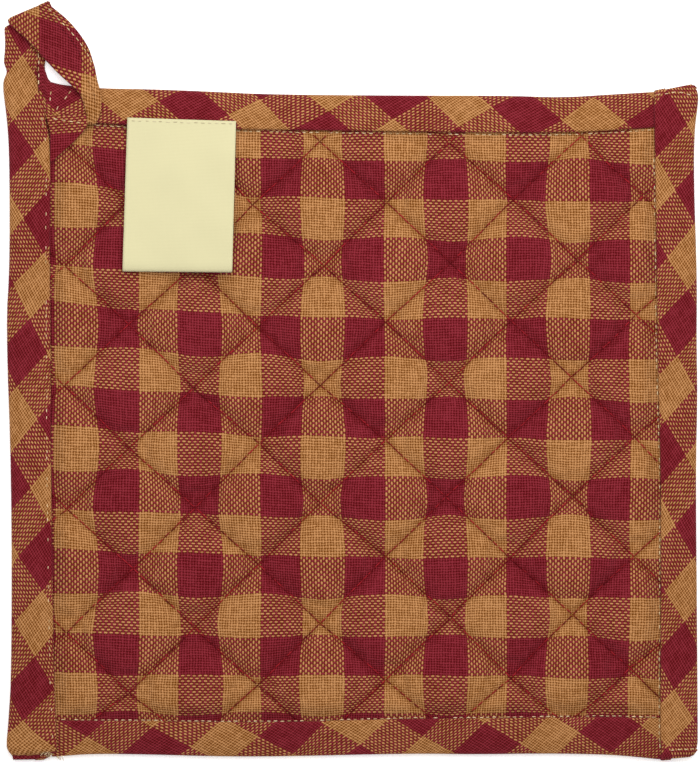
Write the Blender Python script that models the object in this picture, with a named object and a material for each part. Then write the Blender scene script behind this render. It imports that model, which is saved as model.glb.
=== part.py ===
"""A quilted cotton pot holder: a filled pad, four bias bindings, a hanging loop and a sewn-in label.

Lengths are millimetres until they reach a mesh. +X runs to the right and +Y up the face that shows, and +Z
points out of it. The holder lies flat on z = 0.
"""

import math
from collections import namedtuple

import bmesh
import bpy
import numpy as np

MM = 0.001

# Heights in the pad and its bindings.
CLOTH = 1.0
GAP = 0.3
PAD_EDGE = 2.4
PAD_CREST = 5.6
CHANNEL_DEPTH = 1.2
LEG_TOP = 2 * CLOTH + 2 * GAP + PAD_EDGE
LEG_CROWN = 0.25
SEAM_LOW = CLOTH + GAP
SEAM_TOP = SEAM_LOW + PAD_EDGE

# The quilting: a crossing near the middle, and the diagonals of one diamond.
CROSSING_X = -9.1
CROSSING_Y = -1.3
DIAMOND_WIDE = 37.4
DIAMOND_HIGH = 35.3
STEPS = 8
PUFF_FULLNESS = 0.6
EDGE_RISE = 10.0

# How far the pad stays inside its bindings.
EDGE_INSET = CLOTH + GAP
SEAM_CLEARANCE = 0.6
CORNER_CUT = 2.6
LATTICE_CLEARANCE = 1.2

TAIL_END_SQUASH = 0.63
TAIL_FOLD_HIGH = 3.9
FOLD_STEPS = 4

LABEL_LONG = 45.0
LABEL_STEPS = 4

BURGUNDY = (0.25, 0.017, 0.035, 1.0)
TAN = (0.47, 0.21, 0.07, 1.0)
CREAM = (0.82, 0.76, 0.46, 1.0)
COTTON_ROUGHNESS = 0.9

# One station of a binding: a point on its outer line and the point across from it on its inner line.
Station = namedtuple("Station", "outer_x outer_y inner_x inner_y")
TOP = [
    Station(-89.9, 87.3, -89.5, 77.0),
    Station(-82.3, 86.7, -82.3, 76.4),
    Station(-73.5, 86.3, -73.5, 75.7),
    Station(-59.3, 86.1, -59.3, 74.8),
    Station(-41.6, 85.4, -41.6, 74.2),
    Station(-23.9, 84.5, -23.9, 73.9),
    Station(17.4, 84.2, 17.4, 73.3),
    Station(46.9, 84.2, 46.9, 73.0),
    Station(61.7, 83.6, 61.7, 73.0),
    Station(76.4, 84.5, 76.4, 73.6),
    Station(89.1, 85.3, 88.9, 74.5),
]
BOTTOM = [
    Station(-86.1, -111.1, -86.7, -100.2),
    Station(-77.0, -110.3, -77.0, -100.3),
    Station(-59.3, -110.5, -59.3, -100.4),
    Station(-40.1, -111.1, -40.1, -100.7),
    Station(-19.5, -111.1, -19.5, -100.7),
    Station(17.4, -110.2, 17.4, -99.7),
    Station(36.6, -110.5, 36.6, -99.6),
    Station(57.2, -110.2, 57.2, -99.3),
    Station(74.9, -110.5, 74.9, -99.1),
    Station(91.1, -111.2, 90.5, -99.6),
]
RIGHT = [
    Station(100.6, 87.6, 89.7, 85.4),
    Station(102.2, 86.0, 89.5, 83.6),
    Station(102.7, 83.9, 89.4, 81.6),
    Station(102.4, 80.4, 89.4, 79.2),
    Station(101.5, 73.9, 89.4, 73.6),
    Station(101.3, 59.1, 89.7, 59.1),
    Station(102.3, 29.6, 90.1, 29.6),
    Station(102.1, 11.9, 90.3, 11.9),
    Station(102.4, -4.3, 90.6, -4.3),
    Station(101.9, -26.4, 91.3, -26.4),
    Station(101.9, -64.8, 91.3, -64.8),
    Station(102.2, -104.6, 91.1, -105.2),
    Station(102.1, -108.4, 91.5, -109.1),
    Station(99.9, -111.1, 91.7, -111.5),
]
LEFT = [
    Station(-102.6, 86.2, -90.6, 86.2),
    Station(-102.6, 83.9, -90.5, 83.9),
    Station(-102.1, 80.4, -90.3, 80.4),
    Station(-101.3, 73.9, -89.8, 73.9),
    Station(-100.9, 63.6, -89.1, 63.6),
    Station(-100.9, 32.6, -88.8, 32.6),
    Station(-102.0, 16.4, -88.6, 16.4),
    Station(-100.3, -29.4, -88.4, -29.4),
    Station(-100.3, -85.4, -87.6, -85.4),
    Station(-101.3, -101.6, -87.0, -101.6),
    Station(-101.7, -108.3, -86.4, -109.0),
    Station(-99.9, -111.7, -86.4, -111.5),
]

# One section across the loop's tape: edge a is the outer one as the tape goes up, and edge b is stitched.
Tape = namedtuple("Tape", "a_x a_y b_x b_y low high")
TAIL_UP = [
    Tape(-102.6, 86.5, -90.9, 86.5, 0.0, 3.3),
    Tape(-102.6, 90.4, -90.9, 90.4, 0.0, 2.2),
    Tape(-102.5, 95.1, -90.9, 94.5, 0.0, 1.8),
    Tape(-102.3, 99.9, -90.9, 100.4, 0.0, 1.8),
]
TAIL_CREASE = Tape(-100.7, 103.8, -88.1, 110.1, 0.0, 1.8)
TAIL_DOWN = [
    Tape(-95.9, 101.5, -83.9, 106.9, 2.1, 3.9),
    Tape(-92.9, 98.4, -80.8, 103.4, 2.1, 3.9),
    Tape(-90.3, 95.9, -78.3, 99.9, 2.2, 4.0),
    Tape(-88.1, 93.7, -76.7, 96.6, 2.9, 4.7),
    Tape(-85.5, 91.2, -75.5, 92.8, 4.2, 6.0),
    Tape(-82.9, 88.6, -74.8, 88.6, 5.6, 7.3),
    Tape(-79.9, 85.1, -73.9, 85.1, 5.7, 7.4),
    Tape(-78.2, 81.9, -73.6, 81.9, 5.7, 7.4),
    Tape(-77.9, 78.9, -73.9, 78.8, 5.6, 7.2),
    Tape(-78.8, 76.8, -75.5, 76.4, 5.5, 6.8),
]
TAIL_FLAP = [
    Tape(-79.2, 75.0, -76.6, 74.6, 4.1, 5.4),
    Tape(-88.6, 76.0, -78.3, 73.4, 4.2, 5.2),
    Tape(-88.6, 69.8, -82.0, 70.2, 4.5, 5.5),
    Tape(-88.5, 64.6, -87.8, 65.0, 4.7, 5.7),
]

# The label's corners, its sewn end first, and the height of its underside along it.
Corner = namedtuple("Corner", "x y")
LABEL_LEFT = (Corner(-65.9, 77.5), Corner(-67.3, 32.0))
LABEL_RIGHT = (Corner(-33.9, 76.4), Corner(-35.0, 31.7))
Lift = namedtuple("Lift", "along height")
LABEL_LIFTS = [Lift(0.0, 5.6), Lift(9.0, 6.0), Lift(20.0, 6.1), Lift(33.0, 6.4), Lift(LABEL_LONG, 6.2)]


def clear_scene():
    for thing in list(bpy.data.objects):
        bpy.data.objects.remove(thing, do_unlink=True)


def make_material(name, colour):
    material = bpy.data.materials.new(name)
    material.use_nodes = True
    shader = material.node_tree.nodes["Principled BSDF"]
    shader.inputs["Base Color"].default_value = colour
    shader.inputs["Roughness"].default_value = COTTON_ROUGHNESS
    shader.inputs["Metallic"].default_value = 0.0
    return material


def make_object(name, mesh, material):
    """The bmesh as an object, with its faces turned outward and its lengths turned into metres."""
    bmesh.ops.recalc_face_normals(mesh, faces=mesh.faces)
    bmesh.ops.scale(mesh, vec=(MM, MM, MM), verts=mesh.verts)
    data = bpy.data.meshes.new(name)
    mesh.to_mesh(data)
    mesh.free()
    data.materials.append(material)
    data.shade_smooth()
    data.set_sharp_from_angle(angle=math.radians(40))
    thing = bpy.data.objects.new(name, data)
    bpy.context.scene.collection.objects.link(thing)
    return thing


def loft(rings):
    """A closed solid through rings that hold equally many points, with a face over the first and the last."""
    mesh = bmesh.new()
    rows = [[mesh.verts.new(point) for point in ring] for ring in rings]
    count = len(rows[0])
    for near, far in zip(rows, rows[1:]):
        for k in range(count):
            after = (k + 1) % count
            mesh.faces.new((near[k], near[after], far[after], far[k]))
    mesh.faces.new(rows[0])
    mesh.faces.new(rows[-1])
    return mesh


def between(start, end, share):
    return tuple(a + share * (b - a) for a, b in zip(start, end))


def across(station, inward, height):
    """The point on a station's line that lies so far in from its outer end."""
    outer = (station.outer_x, station.outer_y)
    inner = (station.inner_x, station.inner_y)
    x, y = between(outer, inner, inward / math.dist(outer, inner))
    return x, y, height


def wide(station):
    return math.dist((station.outer_x, station.outer_y), (station.inner_x, station.inner_y))


def binding_ring(station, squash=1.0):
    """The outer form of a binding at a station: a flat underside, a round outer edge and a crowned top."""
    width = wide(station)
    profile = [
        (width, LEG_TOP - 0.4),
        (0.55 * width, LEG_TOP + LEG_CROWN),
        (2.4, LEG_TOP + 0.1),
        (0.9, LEG_TOP - 0.25),
        (0.15, SEAM_TOP + GAP),
        (0.0, LEG_TOP / 2),
        (0.15, CLOTH),
        (0.9, 0.25),
        (1.8, 0.0),
        (width, 0.0),
    ]
    return [across(station, inward, squash * height) for inward, height in profile]


def slot_ring(station):
    """The slot in which a binding holds the pad's edge, cut out past the binding's inner line."""
    past = wide(station) + CLOTH
    profile = [(CLOTH, CLOTH), (past, CLOTH), (past, LEG_TOP - CLOTH), (CLOTH, LEG_TOP - CLOTH)]
    return [across(station, inward, height) for inward, height in profile]


def run_on(station, beyond):
    """The station carried on from its neighbour by its own cloth's thickness."""
    return Station(*(a + (a - b) * CLOTH / math.dist(station[:2], beyond[:2]) for a, b in zip(station, beyond)))


def cut(thing, mesh, name):
    """Cuts a mesh out of an object. The cutter stays in the scene as a hidden guide."""
    cutter = make_object(name, mesh, thing.data.materials[0])
    cutter.hide_render = True
    cutter.display_type = "WIRE"
    boolean = thing.modifiers.new("slot", "BOOLEAN")
    boolean.operation = "DIFFERENCE"
    boolean.solver = "EXACT"
    boolean.object = cutter
    return cutter


def make_open_binding(name, stations, material):
    """A strip folded over the pad's edge, open at both ends, where the side strips take over."""
    thing = make_object(name, loft([binding_ring(station) for station in stations]), material)
    first = run_on(stations[0], stations[1])
    last = run_on(stations[-1], stations[-2])
    rings = [slot_ring(station) for station in (first, *stations[1:-1], last)]
    return thing, cut(thing, loft(rings), f"{name}_slot")


def make_closed_binding(name, stations, material, start_squash=1.0):
    """A strip folded over the pad's edge, whose ends are folded in and so close it."""
    squashes = [start_squash] + [1.0] * (len(stations) - 1)
    rings = [binding_ring(station, squash) for station, squash in zip(stations, squashes)]
    thing = make_object(name, loft(rings), material)
    return thing, cut(thing, loft([slot_ring(station) for station in stations[1:-1]]), f"{name}_slot")


def line_at(stations, line, along, at):
    """How far out a binding's outer or inner line lies, at a place along the binding."""
    other = "x" if along == "y" else "y"
    points = sorted((getattr(s, f"{line}_{along}"), getattr(s, f"{line}_{other}")) for s in stations)
    return float(np.interp(at, [p[0] for p in points], [p[1] for p in points]))


def lattice(centre, step, low, high):
    """(index, place) of each lattice line between two limits, counted from the crossing."""
    first = math.ceil((low - centre) / step)
    last = math.floor((high - centre) / step)
    return [(k, centre + k * step) for k in range(first, last + 1)]


def fullness(share):
    """How far the puff has risen at a share of the way from one stitch line to the next."""
    return abs(math.sin(math.pi * share)) ** PUFF_FULLNESS


def pad_heights(column, row, x, y):
    """(underside, top) of the pad at a lattice point."""
    rise = fullness((column + row) / STEPS) * fullness((column - row) / STEPS)
    on_line = (column + row) % STEPS == 0 or (column - row) % STEPS == 0
    inside = min(
        x - line_at(LEFT, "inner", "y", y),
        line_at(RIGHT, "inner", "y", y) - x,
        line_at(TOP, "inner", "x", x) - y,
        y - line_at(BOTTOM, "inner", "x", x),
    )
    edge = min(inside / EDGE_RISE, 1.0)
    edge_rise = edge * edge * (3 - 2 * edge)
    return CHANNEL_DEPTH if on_line else 0.0, SEAM_TOP + (PAD_CREST - SEAM_TOP) * edge_rise * rise


def pad_grid():
    """Columns of (underside, top) points, from the left outline to the right one."""
    left_most = max(s.inner_x for s in LEFT) + SEAM_CLEARANCE + LATTICE_CLEARANCE
    right_most = min(s.inner_x for s in RIGHT) - SEAM_CLEARANCE - LATTICE_CLEARANCE
    low_most = max(s.inner_y for s in BOTTOM) + SEAM_CLEARANCE + LATTICE_CLEARANCE
    high_most = min(s.inner_y for s in TOP) - SEAM_CLEARANCE - LATTICE_CLEARANCE
    columns = lattice(CROSSING_X, DIAMOND_WIDE / STEPS, left_most, right_most)
    rows = lattice(CROSSING_Y, DIAMOND_HIGH / STEPS, low_most, high_most)
    inner_x = [x for _, x in columns]
    inner_y = [y for _, y in rows]
    near_x = [inner_x[0]] * 2 + inner_x + [inner_x[-1]] * 2
    near_y = [inner_y[0]] * 2 + inner_y + [inner_y[-1]] * 2

    def place(i, j):
        x = near_x[i]
        y = near_y[j]
        corner = CORNER_CUT if i < 2 or i > len(near_x) - 3 else 0.0
        if j == 0:
            y = line_at(BOTTOM, "outer", "x", x) + EDGE_INSET + corner
        elif j == 1:
            y = line_at(BOTTOM, "inner", "x", x) + SEAM_CLEARANCE
        elif j == len(near_y) - 2:
            y = line_at(TOP, "inner", "x", x) - SEAM_CLEARANCE
        elif j == len(near_y) - 1:
            y = line_at(TOP, "outer", "x", x) - EDGE_INSET - corner
        if i == 0:
            x = line_at(LEFT, "outer", "y", y) + EDGE_INSET
        elif i == 1:
            x = line_at(LEFT, "inner", "y", y) + SEAM_CLEARANCE
        elif i == len(near_x) - 2:
            x = line_at(RIGHT, "inner", "y", y) - SEAM_CLEARANCE
        elif i == len(near_x) - 1:
            x = line_at(RIGHT, "outer", "y", y) - EDGE_INSET
        return x, y

    grid = []
    for i in range(len(near_x)):
        line = []
        for j in range(len(near_y)):
            x, y = place(i, j)
            low, top = SEAM_LOW, SEAM_TOP
            if 1 < i < len(near_x) - 2 and 1 < j < len(near_y) - 2:
                low, top = pad_heights(columns[i - 2][0], rows[j - 2][0], x, y)
            line.append(((x, y, low), (x, y, top)))
        grid.append(line)
    return grid, columns[0][0] - 2, rows[0][0] - 2


def split_rising(column, row):
    """Whether a cell is split along its rising diagonal, which the nearer stitch line follows."""
    falling_off = (column + row + 1) % STEPS
    rising_off = (column - row) % STEPS
    return min(rising_off, STEPS - rising_off) <= min(falling_off, STEPS - falling_off)


def make_pad(material):
    """The two quilted faces and the filling as one solid, with its channels on both sides."""
    grid, first_column, first_row = pad_grid()
    mesh = bmesh.new()
    low = [[mesh.verts.new(point) for point, _ in line] for line in grid]
    top = [[mesh.verts.new(point) for _, point in line] for line in grid]
    for face in (low, top):
        for i in range(len(grid) - 1):
            for j in range(len(grid[0]) - 1):
                a, b, c, d = face[i][j], face[i + 1][j], face[i + 1][j + 1], face[i][j + 1]
                if split_rising(first_column + i, first_row + j):
                    mesh.faces.new((a, b, c))
                    mesh.faces.new((a, c, d))
                else:
                    mesh.faces.new((a, b, d))
                    mesh.faces.new((b, c, d))
    last = len(grid) - 1
    far = len(grid[0]) - 1
    rim = [(i, 0) for i in range(last)]
    rim += [(last, j) for j in range(far)]
    rim += [(i, far) for i in range(last, 0, -1)]
    rim += [(0, j) for j in range(far, 0, -1)]
    for (i, j), (k, m) in zip(rim, rim[1:] + rim[:1]):
        mesh.faces.new((low[i][j], low[k][m], top[k][m], top[i][j]))
    return make_object("quilted_pad", mesh, material)


def tape_ring(tape):
    """A flat section of the loop, its lower face first."""
    return [
        (tape.a_x, tape.a_y, tape.low),
        (tape.b_x, tape.b_y, tape.low),
        (tape.b_x, tape.b_y, tape.high),
        (tape.a_x, tape.a_y, tape.high),
    ]


def turned_ring(tape):
    """A section past the fold, where the face that lay below is on top."""
    low_a, low_b, high_b, high_a = tape_ring(tape)
    return [high_a, high_b, low_b, low_a]


def crease_rings():
    """The tape bent up and over the crease, round a line halfway up the fold."""
    wide_x = TAIL_CREASE.b_x - TAIL_CREASE.a_x
    wide_y = TAIL_CREASE.b_y - TAIL_CREASE.a_y
    length = math.hypot(wide_x, wide_y)
    out_x, out_y = -wide_y / length, wide_x / length
    middle = TAIL_FOLD_HIGH / 2
    inner = GAP / 2
    rings = []
    for step in range(FOLD_STEPS + 1):
        turn = math.pi * step / FOLD_STEPS
        ring = []
        for radius, x, y in (
            (middle, TAIL_CREASE.a_x, TAIL_CREASE.a_y),
            (middle, TAIL_CREASE.b_x, TAIL_CREASE.b_y),
            (inner, TAIL_CREASE.b_x, TAIL_CREASE.b_y),
            (inner, TAIL_CREASE.a_x, TAIL_CREASE.a_y),
        ):
            out = radius * math.sin(turn)
            ring.append((x + out * out_x, y + out * out_y, middle - radius * math.cos(turn)))
        rings.append(ring)
    return rings


def make_loop(material):
    """The left strip's tail: up beside the pad, folded over, and down across the top binding to its flap."""
    rings = [tape_ring(tape) for tape in TAIL_UP]
    rings += crease_rings()
    rings += [turned_ring(tape) for tape in TAIL_DOWN + TAIL_FLAP]
    return make_object("hanging_loop", loft(rings), material)


def label_profile():
    """(along, height) points round the folded label's side, from its sewn end to the fold and back."""
    radius = CLOTH + GAP / 2
    straight = [lift for lift in LABEL_LIFTS if lift.along < LABEL_LONG - radius]
    fold_base = LABEL_LIFTS[-1].height

    def bend(size):
        turns = [math.pi * (step / LABEL_STEPS - 0.5) for step in range(LABEL_STEPS + 1)]
        return [
            (LABEL_LONG - radius + size * math.cos(turn), fold_base + radius + size * math.sin(turn))
            for turn in turns
        ]

    outer = [(lift.along, lift.height) for lift in straight] + bend(radius)
    outer += [(lift.along, lift.height + 2 * radius) for lift in reversed(straight)]
    inner = [(lift.along, lift.height + CLOTH) for lift in straight] + bend(GAP / 2)
    inner += [(lift.along, lift.height + CLOTH + GAP) for lift in reversed(straight)]
    return outer + inner[::-1]


def make_label(material):
    """A ribbon folded at its free end, with both its ends sewn over the top binding."""
    rings = []
    for start, end in (LABEL_LEFT, LABEL_RIGHT):
        ring = []
        for along, height in label_profile():
            x, y = between(start, end, along / LABEL_LONG)
            ring.append((x, y, height))
        rings.append(ring)
    return make_object("label", loft(rings), material)


def centre_on_origin(things, helpers):
    """Hangs everything from an empty that stands the holder's box on the origin."""
    corners = [point.co for thing in things for point in thing.data.vertices]
    frame = bpy.data.objects.new("pot_holder", None)
    bpy.context.scene.collection.objects.link(frame)
    for axis in (0, 1):
        values = [corner[axis] for corner in corners]
        frame.location[axis] = -(min(values) + max(values)) / 2
    frame.location[2] = -min(corner[2] for corner in corners)
    for thing in things + helpers:
        thing.parent = frame


def main():
    clear_scene()
    check = make_material("burgundy_check", BURGUNDY)
    bias = make_material("tan_check", TAN)
    ribbon = make_material("cream_ribbon", CREAM)
    pad = make_pad(check)
    bindings = [
        make_open_binding("binding_top", TOP, bias),
        make_open_binding("binding_bottom", BOTTOM, bias),
        make_closed_binding("binding_right", RIGHT, bias),
        make_closed_binding("binding_left", LEFT, bias, TAIL_END_SQUASH),
    ]
    loop = make_loop(bias)
    label = make_label(ribbon)
    things = [pad, loop, label] + [strip for strip, _ in bindings]
    centre_on_origin(things, [cutter for _, cutter in bindings])


main()
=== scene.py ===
# %% [markdown]
# A quilted cotton pot holder in a two-colour check. Two faces of plain-woven cotton are quilted over a
# filling, a bias strip binds each edge, the left strip runs on as a hanging loop, and a ribbon label is sewn
# over the top binding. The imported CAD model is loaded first, because every cloth here lies where a solid is.

# %% Load the frame
import math

import bpy
import numpy as np
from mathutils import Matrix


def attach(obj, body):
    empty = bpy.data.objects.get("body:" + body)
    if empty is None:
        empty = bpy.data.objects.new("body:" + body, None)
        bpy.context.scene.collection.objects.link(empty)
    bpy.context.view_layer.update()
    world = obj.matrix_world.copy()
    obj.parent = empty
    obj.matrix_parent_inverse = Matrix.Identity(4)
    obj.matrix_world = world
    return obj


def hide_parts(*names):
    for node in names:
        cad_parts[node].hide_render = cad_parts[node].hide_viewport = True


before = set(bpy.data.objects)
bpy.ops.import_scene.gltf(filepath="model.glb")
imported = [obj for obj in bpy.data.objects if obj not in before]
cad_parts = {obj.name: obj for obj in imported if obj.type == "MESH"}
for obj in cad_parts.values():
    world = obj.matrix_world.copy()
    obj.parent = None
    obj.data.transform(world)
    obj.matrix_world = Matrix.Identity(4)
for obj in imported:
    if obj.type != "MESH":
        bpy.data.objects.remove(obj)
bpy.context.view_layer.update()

MM = 0.001
CENTRE_Y = -0.07
rng = np.random.default_rng(7)

# %% [markdown]
# The photograph looks straight down on the holder from far off, so that nothing narrows with distance. A long
# lens high above does the same. The width that it takes in at the height of the cloth fixes its focal length.

# %% Camera
PICTURE_WIDE = 206.5
CAMERA_HIGH = 1500.0
CLOTH_HIGH = 5.0
SENSOR = 36.0


def deselect():
    bpy.ops.object.select_all(action="DESELECT")


deselect()
bpy.ops.object.camera_add(location=(-0.3 * MM, -0.22 * MM, CAMERA_HIGH * MM), rotation=(0, 0, 0))
camera = bpy.context.object
camera.data.sensor_width = SENSOR
camera.data.sensor_fit = "HORIZONTAL"
camera.data.lens = SENSOR * (CAMERA_HIGH - CLOTH_HIGH) / PICTURE_WIDE
bpy.context.scene.camera = camera
print("focal length, mm:", round(camera.data.lens, 1))

# %% [markdown]
# Shader maths reads more easily as sums than as a list of nodes. This class wraps a socket, and each sum
# written with it adds a Math node. Every other node comes from one method, which takes its type, its settings
# and the values or links of its sockets.


# %% Sums that build nodes
class Wire:
    """A socket of a material's node tree."""

    def __init__(self, tree, socket=None):
        self.tree = tree
        self.socket = socket

    def node(self, kind, settings=None, inputs=None, output=0):
        """Adds a node and gives one of its outputs."""
        made = self.tree.nodes.new(kind)
        for name, value in (settings or {}).items():
            setattr(made, name, value)
        for name, value in (inputs or {}).items():
            if isinstance(value, Wire):
                self.tree.links.new(value.socket, made.inputs[name])
            else:
                made.inputs[name].default_value = value
        return Wire(self.tree, made.outputs[output])

    def to(self, shader, socket):
        """Links this number or colour to a socket of a shader."""
        self.tree.links.new(self.socket, shader.inputs[socket])

    def math(self, operation, *values):
        return self.node("ShaderNodeMath", {"operation": operation}, dict(enumerate(values)))

    def __add__(self, other):
        return self.math("ADD", self, other)

    __radd__ = __add__

    def __mul__(self, other):
        return self.math("MULTIPLY", self, other)

    __rmul__ = __mul__

    def __sub__(self, other):
        return self.math("SUBTRACT", self, other)

    def __rsub__(self, other):
        return self.math("SUBTRACT", other, self)

    def __truediv__(self, other):
        return self.math("DIVIDE", self, other)

    def floor(self):
        return self.math("FLOOR", self)

    def odd(self):
        """1 on odd whole numbers and 0 on even ones."""
        return self.math("MODULO", self, 2.0)

    def cosine(self):
        return self.math("COSINE", self)

    def largest(self, other):
        return self.math("MAXIMUM", self, other)

    def ramp(self, low, high, start=0.0, end=1.0):
        """Goes smoothly from start to end as the number goes from low to high."""
        settings = {"interpolation_type": "SMOOTHSTEP"}
        values = {"Value": self, "From Min": low, "From Max": high, "To Min": start, "To Max": end}
        return self.node("ShaderNodeMapRange", settings, values)

    def mixed(self, first, second):
        """A colour from first to second as this number goes from 0 to 1."""
        return self.node("ShaderNodeMix", {"data_type": "RGBA"}, {0: self, 6: first, 7: second}, 2)

    def part(self, axis):
        return self.node("ShaderNodeSeparateXYZ", {}, {0: self}, axis)

    def vector(self, x, y, z=0.0):
        return self.node("ShaderNodeCombineXYZ", {}, {0: x, 1: y, 2: z})

    def noise(self, place, scale, detail=2.0):
        return self.node("ShaderNodeTexNoise", {}, {"Vector": place, "Scale": scale, "Detail": detail})


def new_material(name, **constants):
    """A material, the start of its sums, and its shader with constants set on its own sockets."""
    material = bpy.data.materials.new(name)
    material.use_nodes = True
    shader = material.node_tree.nodes["Principled BSDF"]
    for socket, value in constants.items():
        shader.inputs[socket.replace("_", " ")].default_value = value
    return material, Wire(material.node_tree), shader


# %% [markdown]
# A photographer lights cloth like this with a big soft lamp and lets white walls fill the shadows. In the
# photograph the cloth grows darker towards its lower edge and both sides of a quilting channel are about as
# dark, so the wide area lamp hangs low, nearly overhead, above the upper edge. The world is brighter near the
# horizon than overhead, as white walls are, and lights the rims of the cloth.

# %% Light
LAMP_PLACE = (0.03, 0.19, 0.52)
LAMP_SIZE = 0.6
LAMP_POWER = 4.3
WALLS, CEILING = 1.25, 0.3

deselect()
bpy.ops.object.light_add(type="AREA", location=LAMP_PLACE)
lamp = bpy.context.object
lamp.data.size = LAMP_SIZE
lamp.data.energy = LAMP_POWER
lamp.rotation_euler = (-lamp.location).to_track_quat("-Z", "Y").to_euler()
world = bpy.data.worlds.new("white room")
world.use_nodes = True
room = Wire(world.node_tree)
direction = room.node("ShaderNodeTexCoord", {}, {}, "Generated")
glow = direction.part(2).ramp(0.0, 0.6, WALLS, CEILING)
sky = world.node_tree.nodes["Background"]
sky.inputs["Color"].default_value = (1, 1, 1, 1)
glow.to(sky, "Strength")
bpy.context.scene.world = world
bpy.context.scene.view_settings.view_transform = "Standard"
print("lamp, watts:", LAMP_POWER)

# %% [markdown]
# The cotton is a plain weave, in which every thread goes over one and under the next. Sixteen tan threads and
# then sixteen burgundy ones, both ways, give the check: where both ways are tan the square is tan, where both
# are burgundy it is burgundy, and where they differ it is speckled. The weave is reckoned from the UV map,
# which counts the threads crossed. Each thread is a rounded ridge that rises and dips once in two crossings,
# and the higher of the two ridges shows. The burgundy yarn and the upright threads win a little of their
# neighbours' room. Each yarn has a shaded and a highlighted tone, mixed by its height: a painted shade on
# its sides and in the gaps, and a painted highlight on its crown.
# Hand-loomed yarn wanders and swells, so noise bends the counts and changes each thread's width. Along a
# quilting line a painted shade darkens the cloth, standing for the shade in the channel and for the packed,
# pulled-down yarns there. The pad's seam attribute says where.

# %% The woven cotton
# Each yarn's colour in painted shade and under a painted highlight.
TAN_SHADED = (0.16, 0.045, 0.001, 1)
TAN_HIGHLIGHTED = (0.485, 0.232, 0.09, 1)
BURGUNDY_SHADED = (0.084, 0.0002, 0.001, 1)
BURGUNDY_HIGHLIGHTED = (0.217, 0.0195, 0.0305, 1)
CHECK_THREADS = 16.0
THREAD_HALF = 0.27
BURGUNDY_GAIN = 0.72
WARP_GAIN = 0.32
COUNT_START = 1600.0
# How much painted shade darkens the cloth along a quilting line.
SEAM_PAINTED_SHADE = 0.26


def cotton(name, crown):
    """Check cotton, whose UV map counts its threads. Its painted highlight is reached at the crown's height.
    """
    constants = {"Sheen_Weight": 0.03, "Sheen_Roughness": 0.6, "Specular_IOR_Level": 0.05}
    material, start, shader = new_material(name, **constants)
    counts = start.node("ShaderNodeUVMap", {"uv_map": "UVMap"})
    across = counts.part(0) + COUNT_START
    along = counts.part(1) + COUNT_START
    bend = start.noise(start.vector(across * 0.3, along * 0.3), 1.0)
    sway = start.noise(start.vector(along * 0.3, across * 0.3, 70.0), 1.0)
    across, along = across + (bend - 0.5) * 0.6, along + (sway - 0.5) * 0.6
    warp, weft = across.floor(), along.floor()
    off_warp, off_weft = across - warp - 0.5, along - weft - 0.5
    over = 1.0 - 2.0 * (warp + weft).odd()
    warp_tone = start.noise(start.vector(warp * 3.7, along * 0.16), 1.0)
    weft_tone = start.noise(start.vector(across * 0.16, weft * 3.7, 40.0), 1.0)
    warp_slim = warp_tone.ramp(0.3, 0.7, 1.22, 0.86) / THREAD_HALF**2
    weft_slim = weft_tone.ramp(0.3, 0.7, 1.22, 0.86) / THREAD_HALF**2
    warp_high = over * (off_weft * math.pi).cosine() - off_warp * off_warp * warp_slim
    weft_high = 0.0 - over * (off_warp * math.pi).cosine() - off_weft * off_weft * weft_slim
    warp_burgundy = (warp / CHECK_THREADS).floor().odd()
    weft_burgundy = (weft / CHECK_THREADS).floor().odd()
    lead = (warp_burgundy - weft_burgundy) * BURGUNDY_GAIN + WARP_GAIN
    warp_shows = (warp_high - weft_high + lead).ramp(-0.2, 0.2)
    high = warp_high.largest(weft_high)
    burgundy = weft_burgundy + (warp_burgundy - weft_burgundy) * warp_shows
    tone = weft_tone + (warp_tone - weft_tone) * warp_shows
    place = start.node("ShaderNodeTexCoord", {}, {}, "Object")
    wear = start.noise(place, 38.0, 3.0)
    # The share of painted highlight: full at a yarn's crown and painted shade lower down, with random tone and
    # wear.
    pale = high.ramp(crown - 2.2, crown) + tone.ramp(0.3, 0.7, -0.24, 0.2)
    pale = pale + wear.ramp(0.3, 0.7, -0.05, 0.05)
    # Painted shade along the quilting channels, where the pad's seam attribute is high; it also stands for
    # packed yarn.
    seam = start.node("ShaderNodeAttribute", {"attribute_name": "seam"}, {}, 2)
    pale = pale - seam * SEAM_PAINTED_SHADE * wear.ramp(0.3, 0.7, 0.6, 1.4)
    # The painted-shade and painted-highlight colours of the yarn that shows.
    shaded_colour = burgundy.mixed(TAN_SHADED, BURGUNDY_SHADED)
    highlighted_colour = burgundy.mixed(TAN_HIGHLIGHTED, BURGUNDY_HIGHLIGHTED)
    finish = pale.mixed(shaded_colour, highlighted_colour)
    finish.to(shader, "Base Color")
    rough = high.ramp(-1.0, 1.0, 1.0, 0.82)
    rough.to(shader, "Roughness")
    bump = start.node("ShaderNodeBump", {}, {"Strength": 0.5, "Distance": 0.00014, "Height": high})
    bump.to(shader, "Normal")
    return material


check_cotton = cotton("check cotton", 0.75)
bias_cotton = cotton("bias cotton", 0.85)
print("cotton materials:", check_cotton.name, "and", bias_cotton.name)

# %% [markdown]
# Every cloth starts as a flat grid. These helpers add one, move its points to where the cloth lies, write its
# thread counts and finish the piece. Lines given by a few points are rounded by cutting their corners.


# %% Helpers for cloth
def flat_cloth(name, across, along):
    """A flat grid, and the row and column of each of its points."""
    deselect()
    bpy.ops.mesh.primitive_grid_add(x_subdivisions=across, y_subdivisions=along, size=1)
    cloth = bpy.context.object
    cloth.name = name
    flat = points_of(cloth)
    column = np.rint((flat[:, 0] + 0.5) * across).astype(int)
    row = np.rint((flat[:, 1] + 0.5) * along).astype(int)
    return cloth, column, row


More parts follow.
